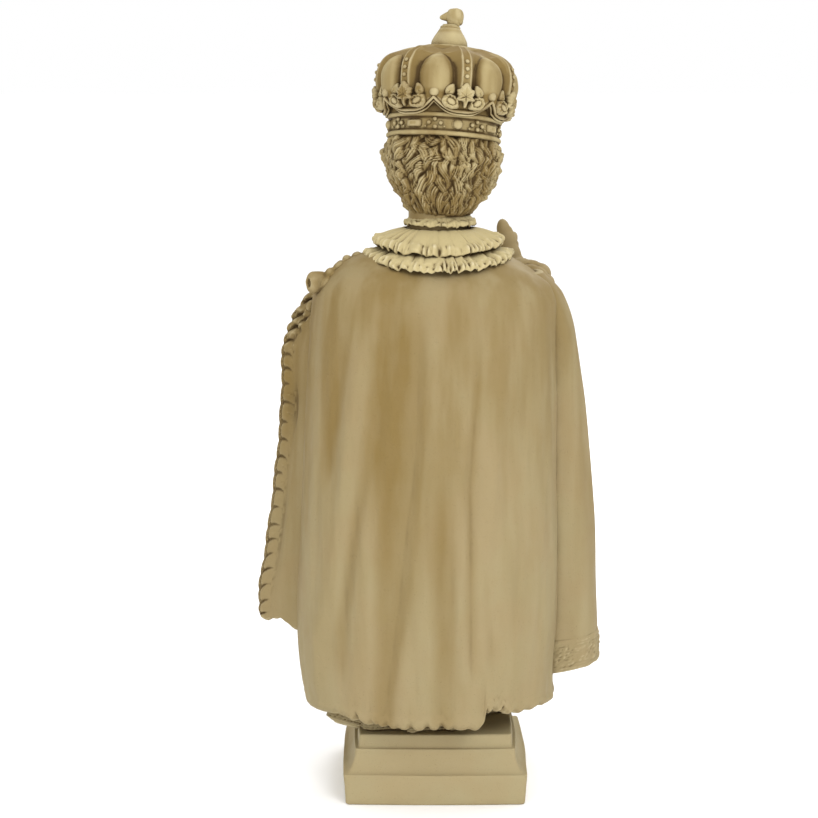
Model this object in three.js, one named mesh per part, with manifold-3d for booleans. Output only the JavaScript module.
// A crowned child in a long cape, with a globe in its left hand and its right hand raised,
// cast in one piece with a square moulded plinth.
// Millimetres, +Z up. The figure looks along -Y and its left hand is on the +X side.
// The origin is the middle of the plinth's flat underside.

import * as THREE from "three";
import { mergeVertices } from "three/addons/utils/BufferGeometryUtils.js";
import Module from "manifold-3d";

const wasm = await Module();
wasm.setup();

// Real sizes of the plinth and of the figure on it

const PLINTH = {
  width: 143, // across the corners of the block's top edge
  depth: 146, // across the middle of the swelling sides
  blockHeight: 25,
  blockDraft: 1.5, // how far the block's foot lies inside its top edge
  edgeRound: 1.5,
  topRound: 0.8,
  coveHeight: 18,
  coveReach: 9, // how far the hollow moulding runs in from the block
  ledge: 2.5, // flat shelf round the slab
  slabHeight: 11,
  slabChamfer: 1.2,
  cornerRound: 3,
  sideBow: 1.5, // the sides swell by this much at their middle
};
const PLINTH_HEIGHT = PLINTH.blockHeight + PLINTH.coveHeight + PLINTH.slabHeight;
const FIGURE_HEIGHT = 556; // from the plinth's top to the tip of the cross

// The figure's forms below are drawn DRAWN_HEIGHT tall, from its own foot, and scaled to its real height
const DRAWN_HEIGHT = 556;

const GOWN = {
  // half widths and depths at each height
  left: [[0, 82], [60, 80], [150, 71], [250, 60], [300, 56], [345, 50], [372, 34]],
  right: [[0, 69], [60, 70], [150, 66], [250, 57], [300, 54], [345, 48], [372, 34]],
  front: [[0, 73], [60, 67], [150, 59], [250, 51], [300, 48], [345, 43], [372, 32]],
  back: [[0, 55], [60, 54], [150, 52], [300, 46], [372, 32]],
  heights: [80, 140, 200, 260, 310, 345, 372], // above the worked border, up to under the collar
  power: 2.7, // its plan is a superellipse of this power
  sunk: 4, // its foot is cast into the plinth's slab by this much
  columns: 38,
  folds: 11,
  foldDepth: 3.6,
  border: 26, // height of the worked border round the hem
  borderEdge: 0.6,
  panel: [0, 8, 15, 16], // half widths across the worked panel down the front, the last one past its edge
  panelTop: 350,
  relief: 1.5,
};
const CAPE = {
  left: [[8, 101], [40, 108], [80, 110], [142, 107], [338, 95], [353, 86], [362, 76], [368, 65], [374, 44]],
  right: [[8, 94], [40, 95], [90, 98], [300, 95], [330, 95], [345, 90], [357, 76], [365, 63], [374, 44]],
  back: [[8, 88], [60, 86], [140, 81], [240, 73], [320, 67], [345, 63], [355, 58], [374, 36]],
  power: 2.25,
  top: 374, // under the collar
  hem: 12.5,
  // what lifts the hem: height, angle from the middle of the back, width in degrees
  hemLifts: [[12, -45, 13], [5, -52, 7], [5, 52, 14], [3, -80, 20]],
  innerFace: -8, // its inner face lies this far behind the figure's middle
  columns: 44,
  innerColumns: 4, // of them, those across the inner face
  rows: 12,
};
// Long folds of the cape's back. run: angle from the back's middle, + to the left hand, against height.
// reach: the heights it runs between. width in degrees. rise: + for a ridge, - for a valley.
const FOLDS = [
  { run: [[37, 25], [95, 21], [161, 17], [237, 12], [326, 11]], reach: [0, 335], width: 3.6, rise: -4.6 },
  { run: [[92, 47], [158, 43], [246, 34], [325, 30]], reach: [50, 330], width: 3.8, rise: -3.2 },
  { run: [[73, 61], [101, 55], [190, 50], [289, 44], [340, 42]], reach: [30, 350], width: 5.5, rise: 3.2 },
  { run: [[230, 58], [290, 54]], reach: [200, 330], width: 6, rise: -2.4 },
  { run: [[74, -18], [186, -19], [251, -23], [309, -28]], reach: [30, 325], width: 2.8, rise: -3.4 },
  { run: [[28, -20], [71, -14], [108, -13], [266, -20]], reach: [0, 290], width: 2.8, rise: 3.2 },
  { run: [[160, -30], [246, -34], [328, -41]], reach: [100, 340], width: 4, rise: 2.6 },
  { run: [[112, -29], [178, -35]], reach: [60, 240], width: 3, rise: -1.8 },
  { run: [[36, -4], [113, -7], [200, -3]], reach: [0, 210], width: 7.5, rise: -3.4 },
  { run: [[50, 36], [300, 38]], reach: [20, 260], width: 5, rise: 1.6 },
  { run: [[40, -60], [300, -62]], reach: [20, 300], width: 9, rise: 1.8 },
];
const WING = {
  // how far each wing reaches out from the middle at each height
  left: [[60, 143], [86, 143], [128, 137.5], [169, 131.5], [251, 123], [292, 121.5], [323, 110], [356, 82]],
  right: [[24, 131], [86, 128.5], [169, 123.5], [251, 115], [307, 107.5], [338, 97], [356, 80]],
  leftHem: 69,
  rightHem: 32,
  top: 356,
  root: 86, // where it leaves the back, narrowing to rootTop at the shoulder
  rootTop: 66,
  rootY: 14,
  leftEdgeY: -24,
  rightEdgeY: -62,
  rightTopY: -34,
  turnIn: 12, // how far the right wing's edge folds back in
  frill: 11, // width of the gathered frill along its edge
  thickness: 6,
  pitch: 13.6, // from one gather of the frill to the next
  pinch: 3.2, // how far each gather draws the edge in
  swell: 1.6, // how much the frill thickens between gathers
};
const SHOULDER_FRILL = {
  // place and half length of each lump of the frill over a shoulder
  left: [[93, -14, 344, 9], [76, -8, 355, 7]],
  right: [[-84, -26, 346, 8], [-66, -24, 358, 7]],
  thickness: 7,
  slope: 34,
};
const COLLAR = {
  x: -2,
  y: 1,
  pleats: 16,
  // reach and height of each gathered tier's edge at the back, at the sides and in front
  lower: { back: [60, 362], side: [55.5, 371], front: [54, 356] },
  upper: { back: [50, 373], side: [50.5, 380], front: [44, 368] },
  thickness: 4,
  pleat: 1.8,
  inner: 22, // width of the lower tier
  foot: 345,
  ruff: { radius: 28, height: 392.5, bead: 3.4, puff: 1.2 },
};
const NECK = { radius: 22.7, x: -1.5, y: 3, high: 425 };
const HEAD = { at: [-5, 0, 440], bow: 8, lean: -3.5, half: [30, 36, 39], jaw: 0.2 };
const FACE_DRAWN = 39; // the features are drawn on a head of this half height, and scaled to the real one
const HAIR = {
  // radius at each height
  outline: [[-46, 14], [-40, 22], [-34, 29], [-27, 34], [-18, 39], [-6, 43.5], [5, 45.5], [20, 41]],
  low: -43,
  high: 20,
  beside: -22, // the curls beside the face stand this far forward
  over: -46, // and over the brow this far
  brow: [9, 19],
  sides: 140, // the locks hang as far round as this from the middle of the back
  lump: 3.2,
  wave: 1.5,
};
const CROWN = {
  radius: 42.8,
  low: 18.4,
  high: 33,
  rim: 2.1,
  arches: 7,
  turn: -16, // angle of one arch from the middle of the back
  outline: [[38.5, 48.5], [44, 52], [52, 54], [60, 54.8], [68, 54], [75.5, 50], [82, 40], [86, 28], [89, 12]],
  puffIn: 2.6, // how far the cap's puffs lie inside the arches
  seamIn: 6.6, // and the seams beside the arches
  gem: 2.8,
  leaf: 3.1,
  pearl: 2.4,
  orb: 14,
  orbAt: 88.5,
};
const RIGHT_ARM = {
  shoulder: [-64, -8, 330],
  elbow: [-94, -26, 300],
  wrist: [-76, -43, 349],
  hand: [-68, -43, 342],
  tip: [-54.5, -44, 392],
  cuff: 13,
};
const LEFT_ARM = { shoulder: [68, -8, 336], elbow: [98, -26, 280], wrist: [72, -70, 288], cuff: 16 };
const SLEEVE = 21;
const CUFF_FLARE = 2.5;
const FINGER = 4.2;
const GLOBE = { at: [60, -80, 322], radius: 20, band: 1.6, cross: 22 };

const DEG = Math.PI / 180;
const { clamp, lerp, smoothstep } = THREE.MathUtils;
const point = (x, y, z) => new THREE.Vector3(x, y, z);
const bump = (x, width) => Math.exp(-((x / width) ** 2));
const mixed = (p, q, share) => p.map((v, i) => lerp(v, q[i], share));

// Size at a height of an outline of [height, size] pairs, on a smooth run that never swings past its points
function along(pairs, z) {
  const last = pairs.length - 1;
  if (z <= pairs[0][0]) return pairs[0][1];
  if (z >= pairs[last][0]) return pairs[last][1];
  const i = pairs.findIndex((pair) => pair[0] > z) - 1;
  const slope = (k) => (pairs[k + 1][1] - pairs[k][1]) / (pairs[k + 1][0] - pairs[k][0]);
  const tangent = (k) => {
    if (k === 0) return slope(0);
    if (k === last) return slope(last - 1);
    const before = slope(k - 1);
    const after = slope(k);
    return before * after <= 0 ? 0 : (2 * before * after) / (before + after);
  };
  const span = pairs[i + 1][0] - pairs[i][0];
  const t = (z - pairs[i][0]) / span;
  const bend = t * (1 - t) * span;
  const ease = t * t * (3 - 2 * t);
  return lerp(pairs[i][1], pairs[i + 1][1], ease) + bend * ((1 - t) * tangent(i) - t * tangent(i + 1));
}

// Reach of a superellipse plan at an angle, from its half width and half depth
function planReach(angle, side, deep, power) {
  const s = Math.abs(Math.sin(angle)) / side;
  const c = Math.abs(Math.cos(angle)) / deep;
  return (s ** power + c ** power) ** (-1 / power);
}

// Forms

// Rings closed by a point at each end, from place(column, row): the first and the last row are one point
function wrapped(columns, rows, place) {
  const form = new THREE.SphereGeometry(1, columns, rows);
  const position = form.getAttribute("position");
  for (let i = 0; i < position.count; i++) {
    const row = rows - Math.floor(i / (columns + 1));
    const column = (i % (columns + 1)) % columns;
    position.setXYZ(i, ...place(column, row).toArray());
  }
  return form;
}

// A thick sheet between its outer and inner faces. Columns before the fine one have only every fourth row.
function sheet(columns, rows, fine, outer, inner) {
  const coarse = 4;
  const points = [];
  const faces = [];
  const stride = (c) => (c < fine ? coarse : 1);
  const at = (side, c, r) => (side * (rows + 1) + r) * (columns + 1) + c;
  for (const face of [outer, inner])
    for (let r = 0; r <= rows; r++)
      for (let c = 0; c <= columns; c++) points.push(face(c, r));
  for (const side of [0, 1]) {
    const triangle = (a, b, c) => faces.push(...(side === 0 ? [a, b, c] : [a, c, b]));
    for (let c = 0; c < columns; c++) {
      const wide = stride(c);
      const near = stride(c + 1);
      const half = wide === near ? wide : wide / 2;
      for (let r = 0; r < rows; r += wide) {
        for (let q = r; q < r + half; q += near)
          triangle(at(side, c, r), at(side, c + 1, q), at(side, c + 1, q + near));
        triangle(at(side, c, r), at(side, c + 1, r + half), at(side, c, r + wide));
        for (let q = r + half; q < r + wide; q += near)
          triangle(at(side, c, r + wide), at(side, c + 1, q), at(side, c + 1, q + near));
      }
    }
  }
  const bridge = (c1, r1, c2, r2) => {
    faces.push(at(0, c1, r1), at(1, c1, r1), at(1, c2, r2));
    faces.push(at(0, c1, r1), at(1, c2, r2), at(0, c2, r2));
  };
  for (let c = 0; c < columns; c++) {
    bridge(c, 0, c + 1, 0);
    bridge(c + 1, rows, c, rows);
  }
  for (let r = 0; r < rows; r += coarse) bridge(0, r + coarse, 0, r);
  for (let r = 0; r < rows; r++) bridge(columns, r, columns, r + 1);
  const form = new THREE.BufferGeometry();
  form.setFromPoints(points);
  form.setIndex(faces);
  return form;
}

// A round limb along a curve, with its ends closed over a share of its length
function limb(points, radius, sides, rows, ends = 0.1) {
  const curve = new THREE.CatmullRomCurve3(points.map((p) => point(...p)));
  const frames = curve.computeFrenetFrames(rows, false);
  return wrapped(sides, rows, (column, row) => {
    const a = (column / sides) * 2 * Math.PI;
    const tip = row === 0 || row === rows;
    const share = tip ? row / rows : lerp(ends, 1 - ends, (row - 1) / (rows - 2));
    const r = tip ? 0 : radius(share);
    return curve
      .getPointAt(share)
      .addScaledVector(frames.normals[row], r * Math.cos(a))
      .addScaledVector(frames.binormals[row], r * Math.sin(a));
  });
}

// A ball with its own half lengths, turned by angles in degrees
function ball(at, half, columns, rows, turn = [0, 0, 0]) {
  const form = new THREE.SphereGeometry(1, columns, rows);
  form.rotateX(90 * DEG);
  form.scale(...half);
  const angles = new THREE.Euler(...turn.map((t) => t * DEG));
  form.applyMatrix4(new THREE.Matrix4().makeRotationFromEuler(angles));
  return form.translate(...at);
}

// A closed body from a form, with its faces turned outwards whichever way round it was swept
function solid(form) {
  const bare = form.clone();
  bare.deleteAttribute("normal");
  bare.deleteAttribute("uv");
  const merged = mergeVertices(bare, 1e-3);
  const bodyOf = (faces) => {
    const vertProperties = new Float32Array(merged.attributes.position.array);
    const triVerts = new Uint32Array(faces);
    return new wasm.Manifold(new wasm.Mesh({ numProp: 3, vertProperties, triVerts }));
  };
  const body = bodyOf(merged.index.array);
  return body.volume() > 0 ? body : bodyOf(merged.index.array.slice().reverse());
}

function joined(forms) {
  return forms.map(solid).reduce((whole, body) => whole.add(body));
}

// Plinth

// A point of a rounded rectangle: four to a quarter, the first in the middle of a side that swells a little
function plinthPoint(column, halfWidth, halfDepth) {
  const quarter = Math.floor(column / 4);
  const [w, d] = quarter % 2 === 0 ? [halfWidth, halfDepth] : [halfDepth, halfWidth];
  const { cornerRound, sideBow } = PLINTH;
  const a = ((column % 4) - 1) * 45 * DEG;
  const at =
    column % 4 === 0
      ? new THREE.Vector2(w + sideBow, 0)
      : new THREE.Vector2(w + cornerRound * (Math.cos(a) - 1), d + cornerRound * (Math.sin(a) - 1));
  return at.rotateAround(new THREE.Vector2(0, 0), quarter * 90 * DEG);
}

function plinth() {
  const p = PLINTH;
  // rings of height and inset, from the foot up
  const rings = [
    [0, p.blockDraft + p.edgeRound],
    [p.edgeRound, p.blockDraft],
    [p.blockHeight - p.topRound, 0],
    [p.blockHeight, p.topRound],
  ];
  const coveSteps = 4;
  for (let i = 1; i <= coveSteps; i++) {
    const a = (i / coveSteps) * 90 * DEG;
    const inset = lerp(p.topRound, p.coveReach, Math.sin(a));
    rings.push([p.blockHeight + p.coveHeight * (1 - Math.cos(a)), inset]);
  }
  const slabFoot = p.blockHeight + p.coveHeight;
  const slabIn = p.coveReach + p.ledge;
  rings.push([slabFoot + p.topRound, slabIn]);
  rings.push([PLINTH_HEIGHT - p.slabChamfer, slabIn]);
  rings.push([PLINTH_HEIGHT, slabIn + p.slabChamfer]);
  const rows = rings.length + 1;
  return wrapped(16, rows, (column, row) => {
    if (row === 0) return point(0, 0, 0);
    if (row === rows) return point(0, 0, PLINTH_HEIGHT);
    const [z, inset] = rings[row - 1];
    const at = plinthPoint(column, p.width / 2 - inset, p.depth / 2 - p.sideBow - inset);
    return point(at.x, at.y, z);
  });
}

// Gown

// Reach of the gown at an angle from the front, + towards the left hand
function gownReach(angle, z, inPanel) {
  const g = GOWN;
  const side = along(angle > 0 ? g.left : g.right, z);
  const deep = along(Math.cos(angle) < 0 ? g.back : g.front, z);
  const depth = g.foldDepth * (1 - smoothstep(z, 60, 320)) * smoothstep(Math.abs(angle), 0.22, 0.5);
  const fold = depth * Math.cos(g.folds * angle + 1.1 * Math.sin(z / 60 + 2.2 * angle));
  const raised = z < g.border || (inPanel && z < g.panelTop);
  return planReach(angle, side, deep, g.power) + fold + (raised ? g.relief : 0);
}

// The panel's columns keep their place across the front, and the others share out the rest of the turn
function gown() {
  const g = GOWN;
  const top = g.heights[g.heights.length - 1];
  const heights = [-g.sunk, 0, g.border - g.borderEdge, g.border + g.borderEdge, ...g.heights];
  const rows = heights.length + 1;
  const half = g.columns / 2;
  const last = g.panel.length - 1;
  return wrapped(g.columns, rows, (column, row) => {
    if (row === 0) return point(0, 0, -g.sunk);
    if (row === rows) return point(0, 0, top);
    const z = heights[row - 1];
    const k = Math.abs(column - half);
    const side = Math.sign(column - half);
    const front = along(g.front, z);
    const turn =
      k <= last
        ? Math.asin(g.panel[k] / front)
        : lerp(Math.asin(g.panel[last] / front), Math.PI, (k - last) / (half - last));
    const r = gownReach(side * turn, z, k < last) - (z < 0 ? g.sunk : 0);
    return point(side * r * Math.sin(turn), -r * Math.cos(turn), z);
  });
}

// Cape

// How far the cloth of the back stands out at an angle and height
function foldRise(degrees, z) {
  return FOLDS.reduce((total, f) => {
    const starts = smoothstep(z, f.reach[0] - 30, f.reach[0] + 20);
    const ends = 1 - smoothstep(z, f.reach[1] - 60, f.reach[1] + 15);
    return total + f.rise * starts * ends * bump(degrees - along(f.run, z), f.width);
  }, 0);
}

function hemHeight(degrees) {
  const lifts = CAPE.hemLifts.map(([lift, at, width]) => lift * bump(degrees - at, width));
  return lifts.reduce((total, lift) => total + lift, CAPE.hem);
}

// The cape's back, a thick mass that is cast in one with the gown inside it
function capeBack() {
  const c = CAPE;
  const quarter = 90;
  return wrapped(c.columns, c.rows, (column, row) => {
    if (row === 0) return point(0, 20, c.hem + 3);
    if (row === c.rows) return point(0, 4, c.top);
    // -1 to 1 round the back between the two sides, and past that across the inner face
    const s = (2 * column - c.columns) / (c.columns - c.innerColumns);
    const past = ((Math.abs(s) - 1) * (c.columns - c.innerColumns)) / c.innerColumns;
    const degrees = Math.abs(s) <= 1 ? s * quarter : Math.sign(s) * quarter * (1 + past);
    // rows are closer together at the shoulders
    const share = (row - 1) / (c.rows - 2);
    const z = lerp(hemHeight(degrees), c.top - 2, share * (1.32 - 0.32 * share));
    const a = degrees * DEG;
    const side = along(degrees > 0 ? c.left : c.right, z);
    if (Math.abs(s) <= 1) {
      const r = planReach(a, side, along(c.back, z), c.power) + foldRise(degrees, z);
      return point(r * Math.sin(a), r * Math.cos(a), z);
    }
    const x = Math.sign(s) * side * (1 - past);
    return point(x, c.innerFace * Math.min(1, 4 * past), z);
  });
}

// Plan of a wing at one height, as places out from the middle: from the back to the frill and to its edge
function wingPlan(left, z) {
  const w = WING;
  const reach = along(left ? w.left : w.right, z);
  const root = [lerp(w.root, w.rootTop, smoothstep(z, 300, w.top)), w.rootY];
  if (left)
    return [
      root,
      [lerp(root[0], reach - w.frill, 0.6), -1],
      [reach - w.frill, w.leftEdgeY + 8],
      [reach, w.leftEdgeY],
    ];
  const edgeY = lerp(w.rightEdgeY, w.rightTopY, smoothstep(z, 230, 340));
  return [
    root,
    [reach, lerp(w.rootY, edgeY, 0.45)],
    [reach - w.turnIn / 2, edgeY + w.frill * 0.8],
    [reach - w.turnIn, edgeY],
  ];
}

// A wing of the cape: the cloth that hangs over one arm and ends in a gathered frill.
// The left one flares outwards, and the right one folds round to the front.
function wing(hand) {
  const w = WING;
  const left = hand > 0;
  const hem = left ? w.leftHem : w.rightHem;
  const rows = 4 * Math.round((w.top - hem) / (2 * w.pitch));
  const columns = 3;
  const face = (side) => (column, row) => {
    const z = lerp(hem, w.top, row / rows);
    const plan = wingPlan(left, z).map(([x, y]) => new THREE.Vector2(x, y));
    const run = plan[Math.min(columns, column + 1)].clone().sub(plan[Math.max(0, column - 1)]).normalize();
    const gathered = column === columns;
    const notch = gathered && row % 2 === 0;
    const swell = gathered ? (notch ? -w.swell : w.swell) : 0;
    const out = new THREE.Vector2(-run.y, run.x);
    const at = plan[column].addScaledVector(out, side * (w.thickness / 2 + swell));
    if (notch) at.addScaledVector(run, -w.pinch);
    return point(hand * at.x, at.y, z);
  };
  return sheet(columns, rows, 2, face(1), face(-1));
}

function shoulderFrill() {
  const f = SHOULDER_FRILL;
  const lump = ([x, y, z, size]) =>
    ball([x, y, z], [size, f.thickness, size * 0.7], 6, 4, [0, Math.sign(x) * f.slope, 0]);
  return [...f.left, ...f.right].map(lump);
}

// Collar: two gathered tiers and the small ruff at the neck, in one surface

function tierEdge(angle, tier) {
  const fromBack = Math.cos(angle);
  return mixed(tier.side, fromBack > 0 ? tier.back : tier.front, Math.abs(fromBack) ** 1.6);
}

function collar() {
  const c = COLLAR;
  const { radius, height, bead, puff } = c.ruff;
  // rings of the tiers: the tier, how far in from its edge, how far above it, and its share of the pleats
  const tierRings = [
    [c.lower, c.inner, -c.thickness - 6, 0],
    [c.lower, 0, -c.thickness, 0.8],
    [c.lower, -0.5, 0.5, 1],
    [c.upper, 3, -c.thickness - 2, -0.5],
    [c.upper, 0, -c.thickness, -0.8],
    [c.upper, -0.5, 0.5, -1],
  ];
  // rings of the ruff: radius, height, and share of its puffs
  const ruffRings = [
    [radius - 1, height - bead, 0],
    [radius + bead * 0.6, height, 1],
    [radius - bead * 0.8, height + bead, 0.4],
  ];
  const columns = c.pleats * 2;
  const rows = tierRings.length + ruffRings.length + 1;
  return wrapped(columns, rows, (column, row) => {
    if (row === 0) return point(c.x, c.y, c.foot);
    if (row === rows) return point(c.x, c.y, height);
    const a = (column / columns) * 2 * Math.PI;
    const wave = column % 2 === 0 ? 1 : -1;
    const at = (r, z) => point(c.x + r * Math.sin(a), c.y + r * Math.cos(a), z);
    if (row <= tierRings.length) {
      const [tier, inwards, over, share] = tierRings[row - 1];
      const [r, z] = tierEdge(a, tier);
      const pleat = wave * share * c.pleat;
      return at(r - inwards + pleat, z + over + pleat * 0.7);
    }
    const [r, z, share] = ruffRings[row - tierRings.length - 1];
    const bulge = wave * share * puff;
    return at(r + bulge, z + bulge * 0.6);
  });
}

// Head, in its own frame: its middle is the origin and the face looks along -Y

function face() {
  const columns = 18;
  const rows = 16;
  const [halfWidth, halfDepth, halfHeight] = HEAD.half;
  return wrapped(columns, rows, (column, row) => {
    // columns are closer together round the face, which is at the middle share
    const share = Math.abs(column / columns - 0.5) * 2;
    const a = Math.sign(column / columns - 0.5) * (0.55 * share + 0.45 * share ** 3) * Math.PI;
    const b = (row / rows - 0.5) * Math.PI;
    const z = halfHeight * Math.sin(b);
    const front = clamp(Math.cos(b) * Math.cos(a), 0, 1) ** 2;
    const narrowed = 1 - HEAD.jaw * smoothstep(-z, 4, halfHeight) * front;
    const x = halfWidth * Math.cos(b) * Math.sin(a) * narrowed;
    const size = halfHeight / FACE_DRAWN;
    const aside = Math.abs(x) / size;
    const up = z / size;
    const ridge = bump(aside, 3.4) * smoothstep(up, -16, -11) * (1 - smoothstep(up, -9, 9));
    const features =
      6.4 * ridge +
      2.2 * bump(aside, 6) * bump(up + 12, 3) + // nostrils
      2.2 * bump(aside, 7.5) * (bump(up + 19.3, 1.9) + bump(up + 23, 2.1)) + // lips
      2.8 * bump(aside, 9) * bump(up + 33, 5) + // chin
      1.6 * bump(aside - 15, 8) * bump(up + 13, 9) + // cheeks
      0.8 * bump(aside - 11, 8) * bump(up - 8.5, 4) + // brows
      2.4 * bump(aside - 11.5, 4) * bump(up - 0.5, 3.2) - // eyes
      3.6 * bump(aside - 11.5, 6) * bump(up - 1, 5.2) -
      1.2 * bump(aside, 7) * bump(up + 27, 2.2);
    return point(x, -halfDepth * Math.cos(b) * Math.cos(a) - features * size * front, z);
  });
}

function hair() {
  const h = HAIR;
  const columns = 40;
  const rows = 10;
  const frontColumns = 4;
  return wrapped(columns, rows, (column, row) => {
    if (row === 0) return point(0, 2, h.low - 3);
    if (row === rows) return point(0, 0, h.high + 2);
    // from the middle of the back; only a few columns cross the front, where the face is
    const fromBack = Math.min(column, columns - column) / (columns / 2);
    const turn = lerp(0, h.sides, Math.min(1, fromBack / (1 - frontColumns / columns)));
    const past = Math.max(0, 1 - (1 - fromBack) / (frontColumns / columns));
    const a = (column > columns / 2 ? -1 : 1) * lerp(turn, 180, past) * DEG;
    const z = lerp(h.low, h.high, (row - 1) / (rows - 2));
    // the locks hang side by side and wave as they fall
    const lock = Math.cos((column * Math.PI) / 2 + h.wave * Math.sin(z * 0.26 + 2 * a));
    const r = along(h.outline, z) + h.lump * lock;
    const furthest = lerp(h.beside - h.lump * lock, h.over, smoothstep(z, ...h.brow));
    return point(r * Math.sin(a), Math.max(r * Math.cos(a), furthest), z);
  });
}

// Crown, in the head's frame: one surface from the band's rim, over the arches and the cap, to the orb

// Places across one bay of it, in shares from an arch's middle: the arch's edge, its foot, over the puff
const BAY = [0.09, 0.135, 0.3, 0.5, 0.7, 0.865, 0.91];

function crown() {
  const c = CROWN;
  const bandIn = c.radius - 0.6;
  const band = [
    [c.low, c.radius + c.rim],
    [c.low + c.rim, bandIn],
    [(c.low + c.high) / 2, bandIn],
    [c.high - c.rim, bandIn],
    [c.high, c.radius + c.rim * 1.4],
  ];
  const section = [...band, ...c.outline];
  const gemRow = 2;
  const columns = c.arches * BAY.length;
  const rows = section.length + 1;
  return wrapped(columns, rows, (column, row) => {
    if (row === 0) return point(0, 0, c.low);
    if (row === rows) return point(0, 0, c.orbAt);
    const place = BAY[column % BAY.length];
    const fromArch = Math.min(place, 1 - place);
    const a = (c.turn + ((Math.floor(column / BAY.length) + place) * 360) / c.arches) * DEG;
    const [z, reach] = section[row - 1];
    const up = row - 1 - band.length; // rows above the band
    const onArch = fromArch < 0.1;
    const between = place === 0.5;
    let out = 0;
    if (row - 1 === gemRow) out = onArch || between ? c.gem : 0;
    if (up >= 0 && !onArch) out = -lerp(c.seamIn, c.puffIn, smoothstep(fromArch, 0.12, 0.42));
    if (up === 0 || up === 1) out = fromArch < 0.32 ? c.leaf : -1;
    if (up === 1 && between) out = c.pearl;
    if (up === 2 && onArch) out = c.leaf;
    const r = reach + out;
    return point(r * Math.sin(a), r * Math.cos(a), z);
  });
}

function finial() {
  const c = CROWN;
  const neck = c.orbAt + c.orb - 1;
  return [
    ball([0, 0, c.orbAt], [c.orb, c.orb, c.orb], 12, 6),
    ball([0, 0, neck], [6.8, 6.8, 2.6], 8, 3),
    ball([0, 0, neck + 7], [4.6, 4, 9], 6, 4),
    ball([0, 0, neck + 10], [9.8, 3.8, 4.2], 6, 5),
  ];
}

function head() {
  const lean = new THREE.Matrix4().makeRotationY(HEAD.lean * DEG);
  const place = new THREE.Matrix4().makeTranslation(...HEAD.at).multiply(lean);
  place.multiply(new THREE.Matrix4().makeRotationX(HEAD.bow * DEG));
  return [face(), hair(), crown(), ...finial()].map((form) => form.applyMatrix4(place));
}

function neck() {
  const { x, y, high, radius } = NECK;
  const low = COLLAR.foot + COLLAR.thickness;
  return limb([[x, y, low], [x, y - 1, (low + high) / 2], [x - 1, y - 2, high]], () => radius, 16, 3);
}

// Arms, hands and globe

// An arm in its sleeve, which narrows from the shoulder and flares at the cuff
function sleeve(arm) {
  const points = [
    arm.shoulder,
    mixed(arm.shoulder, arm.elbow, 0.5),
    arm.elbow,
    mixed(arm.elbow, arm.wrist, 0.5),
    arm.wrist,
  ];
  const radius = (share) =>
    lerp(SLEEVE, arm.cuff, smoothstep(share, 0.15, 0.6)) + CUFF_FLARE * smoothstep(share, 0.75, 0.95);
  return limb(points, radius, 10, 7, 0.02);
}

// A finger or a wrist, a little thinner at its rounded end
function finger(base, tip, radius = FINGER) {
  return limb([base, tip], (share) => radius * (share > 0.7 ? 0.86 : 1), 5, 4);
}

// Two fingers raised, two bent, and the thumb across the palm
function rightHand() {
  const { hand, tip } = RIGHT_ARM;
  const palm = mixed(hand, tip, 0.55);
  const from = (x, y, z) => [palm[0] + x, palm[1] + y, palm[2] + z];
  return [
    finger(hand, palm, 8),
    ball(palm, [8, 6, 12], 8, 5, [0, 12, 0]),
    finger(from(-4, 0, 6), [tip[0] - 3.2, tip[1], tip[2] - 1.5]),
    finger(from(3, 0, 6), [tip[0] + 3.2, tip[1], tip[2]]),
    finger(from(-5, -3, 3), from(1, -10, 1)),
    finger(from(6, -3, -6), from(9, -11, 3)),
  ];
}

// The palm under the globe, with the fingers and the thumb curled up round it
function leftHand() {
  const [x, y, z] = GLOBE.at;
  const r = GLOBE.radius;
  const under = [x, y, z - r - 1];
  const fingers = [-150, -122, -94, -66, -8].map((turn) => {
    const a = turn * DEG;
    const ring = (reach, height) => [x + reach * Math.cos(a), y + reach * Math.sin(a), height];
    return finger(ring(8, under[2]), ring(r, z - r * 0.4));
  });
  return [finger(LEFT_ARM.wrist, under, 8.5), ball(under, [11, 12, 6], 8, 4, [0, 0, 20]), ...fingers];
}

function globe() {
  const { at, radius, band, cross } = GLOBE;
  const over = (height) => [at[0], at[1], at[2] + radius + height];
  return [
    ball(at, [radius, radius, radius], 12, 8),
    ball(at, [radius + band, radius + band, 2 * band], 12, 3),
    ball(over(cross * 0.3), [3, 2.8, cross / 2], 6, 4),
    ball(over(cross / 2), [cross / 3, 2.8, 3], 6, 4),
  ];
}

// The whole casting

function figure() {
  const forms = [
    gown(),
    capeBack(),
    wing(1),
    wing(-1),
    ...shoulderFrill(),
    collar(),
    neck(),
    ...head(),
    sleeve(RIGHT_ARM),
    sleeve(LEFT_ARM),
    ...rightHand(),
    ...leftHand(),
    ...globe(),
  ];
  const scale = FIGURE_HEIGHT / DRAWN_HEIGHT;
  return forms.map((form) => form.scale(scale, scale, scale).translate(0, 0, PLINTH_HEIGHT));
}

function geometryOf(body) {
  const { vertProperties, triVerts } = body.getMesh();
  const geometry = new THREE.BufferGeometry();
  geometry.setAttribute("position", new THREE.BufferAttribute(vertProperties, 3));
  geometry.setIndex(new THREE.BufferAttribute(triVerts, 1));
  geometry.computeVertexNormals();
  return geometry;
}

const castStone = new THREE.MeshStandardMaterial({ color: 0xb9a87e, roughness: 0.82, metalness: 0 });
const statue = new THREE.Mesh(geometryOf(joined([plinth(), ...figure()])), castStone);
statue.name = "statue";

const part = new THREE.Group();
part.add(statue);

export default part;
